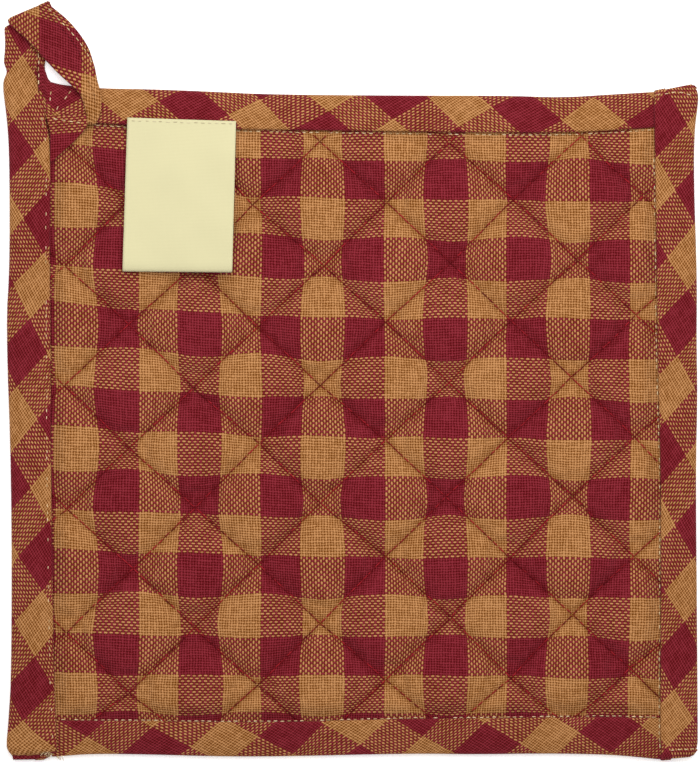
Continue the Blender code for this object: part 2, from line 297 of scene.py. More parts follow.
def move_points(cloth, points):
    """Puts the cloth's points where they are wanted, in millimetres."""
    moved = (np.asarray(points) + (0, CENTRE_Y, 0)) * MM
    cloth.data.vertices.foreach_set("co", moved.ravel())
    cloth.data.update()


def points_of(cloth):
    """The cloth's points as they are."""
    points = np.empty(len(cloth.data.vertices) * 3)
    cloth.data.vertices.foreach_get("co", points)
    return points.reshape(-1, 3)


def corner_points(cloth):
    """The point that each face corner stands on."""
    corners = np.empty(len(cloth.data.loops), dtype=int)
    cloth.data.loops.foreach_get("vertex_index", corners)
    return corners


def count_threads(cloth, counts):
    """Writes the thread counts of each face corner into the UV map."""
    cloth.data.uv_layers[0].name = "UVMap"
    cloth.data.uv_layers[0].data.foreach_set("uv", np.asarray(counts).ravel())


def pick(piece):
    """Selects one piece alone and makes it the active one."""
    deselect()
    piece.select_set(True)
    bpy.context.view_layer.objects.active = piece


def turn_over(cloth):
    """Turns all the faces of a cloth to its other side."""
    pick(cloth)
    bpy.ops.object.mode_set(mode="EDIT")
    bpy.ops.mesh.select_all(action="SELECT")
    bpy.ops.mesh.flip_normals()
    bpy.ops.object.mode_set(mode="OBJECT")


def apply_modifier(piece, kind, **settings):
    """Adds a modifier and applies it."""
    modifier = piece.modifiers.new(kind.lower(), kind)
    for name, value in settings.items():
        setattr(modifier, name, value)
    pick(piece)
    bpy.ops.object.modifier_apply(modifier=modifier.name)


def dress(piece, material):
    """Gives a finished piece its material and its body."""
    piece.data.materials.clear()
    piece.data.materials.append(material)
    piece.data.shade_smooth()
    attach(piece, "root")
    print(piece.name, "has", sum(len(face.vertices) - 2 for face in piece.data.polygons), "triangles")


def height_of(pieces, x, y):
    """The highest point of some pieces above a place, in millimetres."""
    found = [0.0]
    for piece in pieces:
        hit, where, _, _ = piece.ray_cast((x * MM, (y + CENTRE_Y) * MM, 0.05), (0, 0, -1))
        if hit:
            found.append(where.z / MM)
    return max(found)


def rounded(points, times=2):
    """Cuts the corners off a line of points."""
    points = np.asarray(points, float)
    for _ in range(times):
        near = 0.75 * points[:-1] + 0.25 * points[1:]
        far = 0.25 * points[:-1] + 0.75 * points[1:]
        between = np.stack([near, far], axis=1).reshape(-1, points.shape[1])
        points = np.vstack([points[:1], between, points[-1:]])
    return points


def spaced(points, reach, count):
    """The same line as so many points, an equal reach apart."""
    at = np.linspace(reach[0], reach[-1], count)
    return np.column_stack([np.interp(at, reach, column) for column in points.T])


def lengths(points):
    """How far along a line each of its points is."""
    steps = np.linalg.norm(np.diff(points, axis=0), axis=1)
    return np.concatenate([[0.0], np.cumsum(steps)])


def blend(start, end, share):
    """What lies a share of the way from start to end."""
    return np.asarray(start) * (1 - share) + np.asarray(end) * share


def ripples(x, y, shortest, longest, count, seed):
    """Soft uneven waves from -1 to 1, of wavelengths between two lengths."""
    draw = np.random.default_rng(seed)
    total = np.zeros_like(np.asarray(x, float))
    for _ in range(count):
        wave = 2 * math.pi / draw.uniform(shortest, longest)
        turn = draw.uniform(0, math.pi)
        total += np.sin(wave * (x * math.cos(turn) + y * math.sin(turn)) + draw.uniform(0, 2 * math.pi))
    return total / math.sqrt(count)


# %% [markdown]
# A binding is a bias strip folded in a U over the edge, with both its raw edges turned under. The maker sewed
# these by eye, so their width wanders. Each row below is a place on the outer edge and the place across from
# it on the inner edge, the same as in the solids.

# %% Lines of the bindings
TOP = [
    (-92.6, 94.0, -92.2, 77.2), (-91.0, 93.6, -90.6, 77.1), (-89.9, 90.2, -89.6, 77.0),
    (-89.2, 88.5, -89.0, 76.9), (-88.6, 88.2, -88.5, 76.9), (-85.6, 87.4, -85.6, 76.7),
    (-80.8, 86.9, -80.8, 76.3), (-73.5, 86.3, -73.5, 75.7), (-59.3, 86.1, -59.3, 74.8),
    (-41.6, 85.4, -41.6, 74.2), (-23.9, 84.5, -23.9, 73.9), (17.4, 84.2, 17.4, 73.3),
    (46.9, 84.2, 46.9, 73.0), (61.7, 83.6, 61.7, 73.0), (76.4, 84.5, 76.4, 73.6), (89.1, 85.3, 88.9, 74.5),
    (91.4, 85.4, 91.2, 74.8),
]
BOTTOM = [
    (-88.4, -111.2, -89.0, -100.2), (-86.1, -111.1, -86.7, -100.2), (-77.0, -110.3, -77.0, -100.3),
    (-59.3, -110.5, -59.3, -100.4), (-40.1, -111.1, -40.1, -100.7), (-19.5, -111.1, -19.5, -100.7),
    (17.4, -110.2, 17.4, -99.7), (36.6, -110.5, 36.6, -99.6), (57.2, -110.2, 57.2, -99.3),
    (74.9, -110.5, 74.9, -99.1), (84.0, -111.2, 83.8, -99.3), (91.1, -112.0, 90.5, -99.6),
    (93.2, -112.0, 92.7, -99.6),
]
RIGHT = [
    (100.2, -111.3, 91.7, -112.0), (102.4, -108.6, 91.5, -109.3), (102.5, -104.6, 91.1, -105.2),
    (102.2, -64.8, 91.3, -64.8), (101.9, -26.4, 91.3, -26.4), (102.4, -4.3, 90.6, -4.3),
    (102.1, 11.9, 90.3, 11.9), (102.3, 29.6, 90.1, 29.6), (101.3, 59.1, 89.7, 59.1),
    (101.5, 73.9, 89.4, 73.6), (102.4, 80.4, 89.4, 79.2), (102.7, 83.9, 89.4, 81.6),
    (102.2, 86.0, 89.5, 83.6), (100.6, 87.6, 89.7, 85.4),
]
LEFT = [
    (-100.1, -110.9, -86.9, -109.5), (-102.0, -108.7, -86.5, -108.4), (-101.3, -101.6, -87.0, -101.6),
    (-100.3, -85.4, -87.6, -85.4), (-100.3, -29.4, -88.4, -29.4), (-102.0, 16.4, -88.6, 16.4),
    (-100.9, 32.6, -88.8, 32.6), (-100.9, 60.0, -88.6, 60.0), (-101.2, 71.0, -88.8, 71.0),
    (-101.7, 76.8, -89.9, 76.8), (-102.1, 80.4, -90.3, 80.4), (-102.6, 83.9, -90.5, 83.9),
]


def inner_line(rows, along, at):
    """Where a binding's inner edge lies, at a place along it."""
    points = np.array(sorted((row[2 + along], row[3 - along]) for row in rows))
    return np.interp(at, points[:, 0], points[:, 1])


# %% [markdown]
# The pad is the filled part. Diagonal lines of red stitches pull it down and the filling puffs up between
# them. The lines cross at the columns and rows below, but they were run by hand, so many a crossing strayed
# by some millimetres. Two counts that are whole on the stitch lines, one for each slant, say where any point
# is among them. They are taken at the place where the point would be if no line had strayed.

# %% Lines of the quilting
COLUMNS = [-104.0, -84.7, -64.3, -46.0, -27.4, -9.1, 10.3, 28.6, 46.3, 66.1, 84.1, 103.0]
ROWS = [-106.0, -88.4, -71.3, -51.8, -36.2, -17.6, -1.4, 17.8, 34.3, 52.6, 70.3, 88.0]
STRAYED = {
    (0, 1): (0, -3.2), (0, 3): (-0.3, -1.9), (1, 2): (0.7, -3.3), (1, 4): (0.9, -1.8), (1, 8): (0.2, -0.5),
    (2, 1): (-1.4, -3.9), (2, 3): (0.1, -3.8), (2, 5): (-1.3, -2.4), (2, 7): (-1.4, -1.2), (2, 9): (-2.0, 0),
    (3, 0): (-1.8, -1.8), (3, 2): (-0.1, -1.6), (3, 4): (0, -1.4), (3, 6): (-0.5, -0.9), (4, 1): (-0.1, -1.5),
    (4, 3): (0.2, -2.7), (4, 5): (0.4, -0.9), (4, 7): (-0.1, -2.1), (4, 9): (-1.7, -0.7), (5, 0): (0, -0.4),
    (5, 2): (0, -0.4), (5, 8): (1.1, -0.4), (5, 10): (-0.1, 0.4), (6, 7): (0, -0.4), (6, 9): (0.3, 0),
    (7, 0): (0.4, 2.2), (7, 2): (0.9, 1.4), (7, 4): (-0.6, 1.9), (7, 6): (0.3, 0.7), (7, 8): (0.9, 0.5),
    (7, 10): (0.4, 0), (8, 1): (1.0, 0.6), (8, 3): (0.7, -0.7), (8, 5): (0, 0.7), (8, 7): (1.0, -0.2),
    (8, 9): (1.6, 0.9), (9, 0): (-3.2, 4.8), (9, 2): (-0.6, 2.1), (9, 4): (-0.6, 2.1), (9, 6): (-1.1, 2.4),
    (9, 8): (0.9, 1.2), (9, 10): (2.0, 2.0), (10, 1): (-1.8, 3.5), (10, 3): (-0.5, -0.2),
    (10, 5): (-0.5, 1.0), (10, 7): (0, 1.7), (10, 9): (2.4, 2.1), (11, 0): (0, 1.0), (11, 2): (-3.1, 2.9),
    (11, 4): (-2.0, -0.6), (11, 6): (2.1, 1.2), (11, 8): (-0.3, 2.5),
}
EDGE_RISE = 5.0


def stray_table():
    """How far each crossing strayed. Between four of them, in a diamond's middle, it is their mean."""
    table = np.zeros((len(COLUMNS), len(ROWS), 2))
    for crossing, moved in STRAYED.items():
        table[crossing] = moved
    padded = np.pad(table, ((1, 1), (1, 1), (0, 0)), mode="edge")
    beside = padded[:-2, 1:-1] + padded[2:, 1:-1] + padded[1:-1, :-2] + padded[1:-1, 2:]
    i, j = np.indices(table.shape[:2])
    return np.where(((i + j) % 2 == 0)[..., None], beside / 4, table)


STRAY = stray_table()


def stray(x, y):
    """How far the lines strayed near their unstrayed places, across and up the picture."""
    column = np.interp(x, COLUMNS, np.arange(len(COLUMNS)))
    row = np.interp(y, ROWS, np.arange(len(ROWS)))
    i = np.minimum(column.astype(int), len(COLUMNS) - 2)
    j = np.minimum(row.astype(int), len(ROWS) - 2)
    u, v = (column - i)[..., None], (row - j)[..., None]
    low = blend(STRAY[i, j], STRAY[i + 1, j], u)
    high = blend(STRAY[i, j + 1], STRAY[i + 1, j + 1], u)
    moved = blend(low, high, v)
    return moved[..., 0], moved[..., 1]


def quilt_count(x, y, slant):
    """A count that is whole on the stitch lines of one slant, 1 for the rising and -1 for the falling."""
    ruled_x, ruled_y = x, y
    for _ in range(3):
        moved_x, moved_y = stray(ruled_x, ruled_y)
        ruled_x, ruled_y = x - moved_x, y - moved_y
    column = np.interp(ruled_x, COLUMNS, np.arange(len(COLUMNS)))
    row = np.interp(ruled_y, ROWS, np.arange(len(ROWS)))
    return (column + slant * row - 1) / 2


def off_line(x, y, slant):
    """How far a point is from the nearest stitch line of a slant, across and up the picture."""
    step = 0.01
    count = quilt_count(x, y, slant)
    over_x = (quilt_count(x + step, y, slant) - count) / step
    over_y = (quilt_count(x, y + step, slant) - count) / step
    share = (count - np.rint(count)) / (over_x**2 + over_y**2)
    return share * over_x, share * over_y


def inside_bindings(x, y):
    """How far a point of the pad is from the nearest binding."""
    left = x - inner_line(LEFT, 1, y)
    right = inner_line(RIGHT, 1, y) - x
    top = inner_line(TOP, 0, x) - y
    bottom = y - inner_line(BOTTOM, 0, x)
    return np.minimum(np.minimum(left, right), np.minimum(top, bottom))


def edge_share(x, y):
    """0 under the bindings, which press the pad flat, and 1 well inside them."""
    share = np.clip(inside_bindings(x, y) / EDGE_RISE, 0, 1)
    return share * share * (3 - 2 * share)


# %% [markdown]
# The upper face is settled by a cloth simulation. The cloth is a little larger than its place. It is pinned
# along the stitch lines, and a pressure from below stands for the filling, so that it puffs up and puckers
# between them as sewn cloth does. The cloth is simulated fifty times larger, where Blender's settings work
# best, and brought back to size. The filling gives way slowly, so the crests are levelled off.

# %% Settling the upper face
PAD_LEFT, PAD_RIGHT = -98.6, 99.6
PAD_LOW, PAD_HIGH = -108.6, 82.2
TOP_CELLS = (142, 136)
PIN_REACH = 0.62
SIM_SCALE = 50.0
SPARE_CLOTH = 0.075
PRESSURE = 4.0
SETTLING_FRAMES = 18
SEAM_TOP = 3.1
FILL_GIVES = 2.9


def pad_places(column, row, cells):
    """Where the points of a flat face of the pad lie."""
    x = PAD_LEFT + (PAD_RIGHT - PAD_LEFT) * column / cells[0]
    y = PAD_LOW + (PAD_HIGH - PAD_LOW) * row / cells[1]
    return x, y


def settle(cloth, pinned):
    """Blows a cloth up between its pinned points."""
    pins = cloth.vertex_groups.new(name="pins")
    pins.add([int(i) for i in np.nonzero(pinned)[0]], 1.0, "REPLACE")
    modifier = cloth.modifiers.new("cloth", "CLOTH")
    fabric = modifier.settings
    fabric.quality = 6
    fabric.mass = 0.3
    fabric.tension_stiffness = 15
    fabric.compression_stiffness = 15
    fabric.shear_stiffness = 8
    fabric.bending_stiffness = 0.15
    fabric.air_damping = 2
    fabric.use_pressure = True
    fabric.uniform_pressure_force = PRESSURE
    fabric.shrink_min = -SPARE_CLOTH
    fabric.vertex_group_mass = "pins"
    fabric.effector_weights.gravity = 0
    modifier.point_cache.frame_end = SETTLING_FRAMES
    for frame_number in range(1, SETTLING_FRAMES + 1):
        bpy.context.scene.frame_set(frame_number)
    pick(cloth)
    bpy.ops.object.modifier_apply(modifier=modifier.name)
    bpy.context.scene.frame_set(1)


pad, column, row = flat_cloth("quilted_pad_cloth", *TOP_CELLS)
sewn_x, sewn_y = pad_places(column, row, TOP_CELLS)
pinned = (column % TOP_CELLS[0] == 0) | (row % TOP_CELLS[1] == 0)
for slant in (1, -1):
    off_x, off_y = off_line(sewn_x, sewn_y, slant)
    beside = (np.hypot(off_x, off_y) < PIN_REACH) & ~pinned
    sewn_x = sewn_x - np.where(beside, off_x, 0)
    sewn_y = sewn_y - np.where(beside, off_y, 0)
    pinned = pinned | beside
start_z = np.where(pinned, 0, 0.3 + rng.uniform(-0.05, 0.05, len(sewn_x)))
pad.data.vertices.foreach_set("co", (np.column_stack([sewn_x, sewn_y, start_z]) * MM * SIM_SCALE).ravel())
pad.data.update()
settle(pad, pinned)
settled = points_of(pad) / (MM * SIM_SCALE)
print("highest settled point above the seams, mm:", round(settled[:, 2].max(), 2))

# %% [markdown]
# Counting its threads there lets the simulation bend it. The thread also drew a little cloth down into each
# channel, so the check jogs across a stitch line. Small puckers stand beside the lines and soft waves run
# over the crests.

# %% Upper face
CHECK_WIDE, CHECK_HIGH = 12.1, 11.72
FIRST_COLUMN, FIRST_ROW = -74.9, 65.05
MOST_LEAN, MOST_GATHERED = 4.4, 1.1
LINES_APART = 25.7
PUCKER, PUCKERS_APART = 0.15, 4.7
WAVE = 0.12
DRAWN_IN = 0.32
SEAM_SHADE_WIDE = 1.15


def pad_counts(x, y):
    """The threads crossed, from where the check's second square starts."""
    lean = np.clip((14.5 - x) / 97.4, 0, 2) ** 1.75
    fade = MOST_LEAN * (1 - np.clip((53.2 - y) / 147.5, 0, 1) ** 1.6)
    sag = 0.018 * np.clip(x - 55, 0, 40)
    drawn = 0.9 * np.clip((x - 45) / 40, 0, 1) * np.clip((-40 - y) / 60, 0, 1)
    drawn = drawn + 0.35 * np.clip((-58 - x) / 15, 0, 1)
    gathered = np.clip((-78 - y) / 20, 0, 1) * np.interp(x, [-88, -50, 90], [MOST_GATHERED, 0.6, 0.45])
    rows = FIRST_ROW - y + lean * fade - sag + gathered + 0.22 * ripples(x, y, 25, 70, 6, 11)
    rows = 1 + rows / CHECK_HIGH
    columns = 1 + (x - FIRST_COLUMN + drawn + 0.2 * ripples(x, y, 30, 80, 6, 12)) / CHECK_WIDE
    for slant in (1, -1):
        off_x, off_y = off_line(x, y, slant)
        away = np.hypot(off_x, off_y)
        share = away / (0.5 * LINES_APART)
        pull = DRAWN_IN * np.maximum(1 - np.exp(-share * 10) - share, 0) / np.maximum(away, 1e-6)
        columns = columns + pull * off_x / CHECK_WIDE
        rows = rows - pull * off_y / CHECK_HIGH
    return np.column_stack([columns, rows]) * CHECK_THREADS


x, y = settled[:, 0], settled[:, 1]
puff = FILL_GIVES * (1 - np.exp(-np.maximum(settled[:, 2], 0) / FILL_GIVES))
away = [np.hypot(*off_line(x, y, slant)) for slant in (1, -1)]
near = np.minimum(*away)
along = np.where(away[0] < away[1], quilt_count(x, y, -1), quilt_count(x, y, 1)) * LINES_APART
pucker = np.sin(2 * math.pi * along / PUCKERS_APART + 2.2 * ripples(x, y, 14, 30, 5, 3))
pucker = pucker * np.exp(-(((near - 1.8) / 1.5) ** 2))
waves = ripples(x, y, 11, 36, 14, 5) * np.minimum(near / 4, 1)
height = SEAM_TOP + edge_share(x, y) * (puff + PUCKER * pucker + WAVE * waves)
move_points(pad, np.column_stack([x, y, height]))
count_threads(pad, pad_counts(sewn_x, sewn_y)[corner_points(pad)])
apply_modifier(pad, "SUBSURF", levels=1, render_levels=1)
x, y = points_of(pad)[:, 0] / MM, points_of(pad)[:, 1] / MM - CENTRE_Y
near = np.minimum(*[np.hypot(*off_line(x, y, slant)) for slant in (1, -1)])
# The seam attribute says where a painted shade darkens the cloth beside the stitch lines.
seam_shade = pad.data.attributes.new("seam", "FLOAT", "POINT")
seam_shade.data.foreach_set("value", np.exp(-np.abs(near / SEAM_SHADE_WIDE) ** 1.5))
print("crest of the pad, mm:", round(height.max(), 2))

# %% [markdown]
# The lower face is a coarser grid, which lies on the floor between its own stitch lines. Bridging the borders
# of the two faces closes them into one filled piece.

# %% Lower face
UNDER_CELLS = (96, 92)

under, column, row = flat_cloth("pad_underside", *UNDER_CELLS)
x, y = pad_places(column, row, UNDER_CELLS)
sag = np.ones_like(x)
for slant in (1, -1):
    sag = sag * (1 - np.exp(-np.hypot(*off_line(x, y, slant)) / 2.2))
move_points(under, np.column_stack([x, y, 1.3 - 1.25 * edge_share(x, y) * sag]))
count_threads(under, pad_counts(x, y)[corner_points(under)])
turn_over(under)
pad.select_set(True)
bpy.context.view_layer.objects.active = pad
bpy.ops.object.join()
bpy.ops.object.mode_set(mode="EDIT")
bpy.ops.mesh.select_mode(type="EDGE")
bpy.ops.mesh.select_all(action="DESELECT")
bpy.ops.mesh.select_non_manifold()
bpy.ops.mesh.bridge_edge_loops()
bpy.ops.mesh.select_all(action="SELECT")
bpy.ops.mesh.normals_make_consistent(inside=False)
bpy.ops.object.mode_set(mode="OBJECT")
dress(pad, check_cotton)
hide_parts("quilted_pad")

# %% [markdown]
# The bias check on each strip is a lattice of diamonds. It is stretched along the strip and drifts across it,
# because nobody cuts or folds a bias strip quite true. Each row below counts a column of diamonds and says
# how far along the strip it is, and where the lattice's first row lies across it.

# %% Lattices of the bias check
TOP_LATTICE = [
    (-4, -106.5, 89.5), (-2, -86.7, 86.8), (0, -67.1, 84.2), (1, -56.7, 82.8), (2, -46.5, 80.8),
    (3, -36.3, 78.8), (4, -26.8, 76.2), (5, -17.7, 74.0), (6, -6.6, 72.5), (7, 2.9, 71.4), (8, 12.4, 70.4),
    (9, 23.0, 69.5), (10, 31.7, 68.0), (11, 41.7, 66.7), (12, 51.8, 64.7), (13, 62.1, 62.8),
    (14, 71.6, 62.8), (15, 81.2, 62.2), (16, 90.3, 61.4), (18, 110.0, 60.0),
]
BOTTOM_LATTICE = [
    (-1, -88.0, -114.0), (0, -77.9, -112.6), (1, -68.3, -111.3), (2, -58.6, -109.9), (3, -47.5, -108.6),
    (4, -37.5, -107.0), (5, -27.2, -105.4), (6, -17.1, -103.5), (7, -8.3, -101.6), (8, 2.7, -100.8),
    (9, 11.9, -99.5), (10, 21.2, -98.1), (11, 30.2, -95.9), (12, 39.5, -94.3), (13, 49.9, -93.3),
    (14, 58.7, -91.6), (15, 67.4, -89.8), (16, 76.7, -88.9), (17, 85.5, -87.9), (18, 94.0, -87.0),
]
LEFT_LATTICE = [
    (-4, 126.1, -79.0), (0, 86.5, -84.4), (1, 76.6, -85.8), (2, 67.4, -86.7), (3, 57.6, -88.2),
    (4, 47.9, -89.7), (5, 37.7, -90.9), (6, 28.4, -92.8), (7, 18.1, -95.0), (8, 8.2, -97.2),
    (9, -1.7, -98.9), (10, -11.4, -99.9), (11, -21.5, -100.9), (12, -31.7, -102.1), (13, -41.7, -103.8),
    (14, -51.8, -105.5), (15, -61.9, -105.6), (16, -71.3, -106.8), (17, -81.6, -107.8), (18, -90.9, -109.3),
    (19, -100.2, -110.5), (20, -108.6, -115.2), (21, -117.0, -116.0),
]
RIGHT_LATTICE = [
    (-2, 95.4, 109.0), (0, 75.6, 106.5), (1, 66.2, 104.9), (2, 56.2, 103.2), (3, 46.4, 101.9),
    (4, 36.3, 100.7), (5, 26.7, 99.7), (6, 17.5, 98.2), (7, 7.3, 96.5), (8, -2.1, 94.7), (9, -12.2, 92.9),
    (10, -22.2, 91.9), (11, -32.2, 90.6), (12, -42.7, 88.9), (13, -52.3, 87.3), (14, -62.1, 85.7),
    (15, -71.3, 84.4), (16, -81.0, 82.9), (17, -91.1, 81.4), (18, -99.9, 80.1), (19, -108.2, 79.3),
    (21, -128.0, 77.5),
]
ROW_APART = 7.15


def bias_counts(lattice, first_row, along, across, apart=ROW_APART):
    """The threads crossed on a bias strip, from places along and across it."""
    table = np.array(sorted((place, column, base) for column, place, base in lattice))
    column = np.interp(along, table[:, 0], table[:, 1])
    row = first_row + (across - np.interp(along, table[:, 0], table[:, 2])) / apart
    return np.column_stack([(row + column) / 2, (row - column) / 2]) * CHECK_THREADS


# %% [markdown]
# A strip's section is a U: the turned-under hem, the roll at the inner edge, the crowned front, the round
# outer edge, the flat back and the back's own hem. The same section is carried along every strip, lowered
# where the tail of the left one flattens into a tape.

# %% Section of a binding
FRONT_HIGH = 5.3
SECTION_POINTS = 76
PLIES = 0.42
RIPPLE = 0.12


def section(width):
    """Places across and heights round a strip's section, from the front hem to the back one."""
    turns = [
        (width - 3.2, 4.05), (width - 1.0, 4.0), (width - 0.1, 4.05), (width, 4.5), (width - 0.25, 4.9),
        (width - 1.2, 5.05), (0.55 * width, 5.3), (2.4, 5.2), (0.9, 4.85), (0.1, 4.0), (0.0, 2.6), (0.1, 1.3),
        (0.8, 0.3), (2.2, 0.0), (width - 1.0, 0.0), (width - 0.2, 0.1), (width, 0.5), (width - 0.5, 0.9),
        (width - 3.2, 0.95),
    ]
    line = rounded(turns, 3)
    return spaced(line, lengths(line), SECTION_POINTS)


def section_reach(width):
    """How far round the section each point is from the inner edge of the front."""
    line = section(width)
    reach = lengths(line)
    front = np.argmax(line[: SECTION_POINTS // 3, 0] - 0.001 * np.arange(SECTION_POINTS // 3))
    return reach - reach[front]


NARROW, BROAD = 10.0, 13.0
narrow_section, broad_section = section(NARROW), section(BROAD)
print("cloth round a binding, mm:", round(lengths(broad_section)[-1], 1))


# %% [markdown]
# A strip is one grid carried along its rings. A ring holds both edge lines, the height of its middle, its
# thickness, and how far it has turned over a crease. The crease is a half turn about a line in the cloth.

# %% Carrying a section along a strip
FOLD_MIDDLE = 1.95
RING_STEP = 0.85


def ring(row, low=0.0, high=FRONT_HIGH, turn=0.0):
    """(a_x, a_y, b_x, b_y, middle, thick, turn) of one section of a strip."""
    middle = low + FOLD_MIDDLE if turn < 0.5 else high - FOLD_MIDDLE
    return (*row, middle, high - low, turn)


def strip_rings(rings):
    """The rings of a strip, rounded and evenly spaced."""
    line = rounded(rings)
    middle = np.column_stack([(line[:, 0] + line[:, 2]) / 2, (line[:, 1] + line[:, 3]) / 2])
    path = np.column_stack([middle, line[:, 4], math.pi * FOLD_MIDDLE * line[:, 6]])
    reach = lengths(path)
    return spaced(line, reach, int(reach[-1] / RING_STEP))


def strip_points(rings, column, row):
    """Where each point of a strip's grid lies, and its reach from the front's inner edge."""
    at = rings[row]
    a, b = at[:, 0:2], at[:, 2:4]
    width = np.clip(np.linalg.norm(b - a, axis=1), 1.0, 20.0)
    share = np.clip((width - NARROW) / (BROAD - NARROW), 0, 1)[:, None]
    shape = blend(narrow_section[column], broad_section[column], share)
    used = np.clip(width, NARROW, BROAD)
    e = (shape[:, 0] / used)[:, None]
    radius = FOLD_MIDDLE - shape[:, 1] / FRONT_HIGH * at[:, 5]
    turned = math.pi * at[:, 6]
    direction = (b - a) / width[:, None]
    out = np.column_stack([-direction[:, 1], direction[:, 0]]) * (radius * np.sin(turned))[:, None]
    flat = a + e * (b - a) + out
    reach = blend(section_reach(NARROW)[column], section_reach(BROAD)[column], share[:, 0])
    return np.column_stack([flat, at[:, 4] - radius * np.cos(turned)]), reach


def make_strip(name, rings):
    """A strip of cloth carried along its rings."""
    rings = strip_rings(rings)
    cloth, column, row = flat_cloth(name, SECTION_POINTS - 1, len(rings) - 1)
    points, reach = strip_points(rings, column, row)
    return cloth, rings[row], points, reach


def relief(points, at, fall, seed, end=200.0):
    """Heights of a strip whose front slopes down outward and ripples a little, as far up as its end."""
    width = np.linalg.norm(at[:, :2] - at[:, 2:4], axis=1)
    outward = np.clip(np.linalg.norm(points[:, :2] - at[:, 2:4], axis=1) / width, 0, 1)
    slope = fall * outward * np.clip((points[:, 2] - 2.6) / 2.4, 0, 1)
    ripple = RIPPLE * ripples(points[:, 0], points[:, 1], 7, 22, 10, seed)
    shaped = points[:, 2] - slope + np.where(points[:, 2] > 3.0, ripple, 0)
    return np.where(points[:, 1] < end, shaped, points[:, 2])


def stiffen(cloth):
    """Turns the cloth's faces outward and gives it its thickness, inward."""
    high = max(cloth.data.polygons, key=lambda face: face.center.z)
    if high.normal.z <= 0:
        turn_over(cloth)
    apply_modifier(cloth, "SOLIDIFY", thickness=PLIES * MM, offset=-1.0)


def finish_strip(cloth, points, corner_counts):
    """Lays a strip on its points, gives it its thickness and makes it cotton."""
    count_threads(cloth, corner_counts)
    move_points(cloth, points)
    stiffen(cloth)
    dress(cloth, bias_cotton)


# %% [markdown]
# The top and bottom strips run from side to side, and their raw ends lie under the side strips.

# %% Top and bottom bindings
def cross_strip(name, rows, lattice, sign, fall, node):
    """A strip along the top or the bottom edge, whose ends dip under the side strips."""
    rings = [ring(rows[0], 0.6, 3.6), ring(rows[1], 0.1, 4.4)]
    rings += [ring(row) for row in rows[2:-2]]
    rings += [ring(rows[-2], 0.1, 4.4), ring(rows[-1], 0.6, 3.6)]
    cloth, at, points, reach = make_strip(name, rings)
    counts = bias_counts(lattice, 1, points[:, 0], at[:, 3] + sign * reach)
    points[:, 2] = relief(points, at, fall, 21 + sign)
    finish_strip(cloth, points, counts[corner_points(cloth)])
    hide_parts(node)
    return cloth


top_binding = cross_strip("top_binding_cloth", TOP, TOP_LATTICE, 1, 0.9, "binding_top")
bottom_binding = cross_strip("bottom_binding_cloth", BOTTOM, BOTTOM_LATTICE, -1, 1.5, "binding_bottom")

# %% [markdown]
# The right strip lies over their ends. Its own two ends are turned in, so it closes there.

# %% Right binding
def turned_end(rows):
    """Rings that turn a strip's end in: they close over it and go back inside."""
    end, before = np.array(rows[0]), np.array(rows[1])
    inside = end + (before - end) * 0.9
    over = end + (before - end) * 0.3
    return [ring(inside, 2.3, 3.0), ring(end, 2.2, 3.1), ring(end, 1.2, 4.2), ring(over, 0.2, 5.0)]


right_rings = turned_end(RIGHT) + [ring(row) for row in RIGHT[1:-1]] + turned_end(RIGHT[::-1])[::-1]
right_binding, at, points, reach = make_strip("right_binding_cloth", right_rings)
right_counts = bias_counts(RIGHT_LATTICE, 1, points[:, 1], at[:, 2] + reach)
points[:, 2] = relief(points, at, 0.7, 23)
finish_strip(right_binding, points, right_counts[corner_points(right_binding)])
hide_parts("binding_right")

# %% [markdown]
# The left strip is cut long. Past the corner it is stitched into a flat tape, folded over a slanting crease
# like a ribbon, and brought down over the top binding, where it narrows into a roll. The whole of it is one
# cloth, carried along one list of rings. At the other end a tongue of the turned-under end peeps out.

# %% Left binding and its loop
TAIL_FROM = 84.0
TAIL_UP = [
    ((-102.9, 86.5, -90.0, 86.5), 0.0, 3.3), ((-102.8, 89.0, -90.0, 89.0), 0.0, 2.4),
    ((-101.6, 91.3, -90.2, 91.1), 0.0, 1.7), ((-102.8, 93.8, -90.6, 93.7), 0.0, 2.1),
    ((-102.5, 96.5, -89.5, 97.2), 0.0, 1.8), ((-102.3, 99.9, -90.2, 101.0), 0.0, 1.8),
    ((-102.6, 104.0, -89.8, 107.0), 0.0, 1.8), ((-102.4, 104.6, -89.6, 107.6), 0.0, 1.8),
]
CREASE = (-101.0, 105.2, -88.4, 110.5)
TAPE_X, TAPE_Y = -92.0, 107.2
TAPE_CHECK_WIDE, TAPE_CHECK_HIGH = 12.5, 12.4
TAIL_DOWN = [
    ((-96.2, 101.1, -83.9, 106.9), 2.6, 4.4), ((-93.2, 98.0, -80.8, 103.4), 2.8, 4.6),
    ((-90.9, 95.2, -78.3, 99.9), 2.9, 4.7), ((-88.75, 92.95, -76.7, 96.6), 3.3, 5.1),
    ((-86.3, 90.4, -75.5, 92.8), 4.4, 6.2), ((-83.6, 88.0, -74.8, 88.6), 5.6, 7.3),
    ((-80.1, 84.9, -73.7, 85.1), 5.7, 7.4), ((-78.9, 81.9, -73.6, 81.9), 5.7, 7.4),
    ((-78.2, 79.2, -73.8, 78.8), 5.6, 7.2), ((-78.0, 77.0, -74.6, 76.6), 5.4, 6.7),
    ((-78.0, 75.7, -75.7, 75.4), 4.9, 6.0),
]

UNDER_END = [ring((-99.9, -112.1, -90.3, -111.9), 0.6, 2.6), ring((-100.0, -111.9, -89.5, -111.6), 0.3, 3.0)]

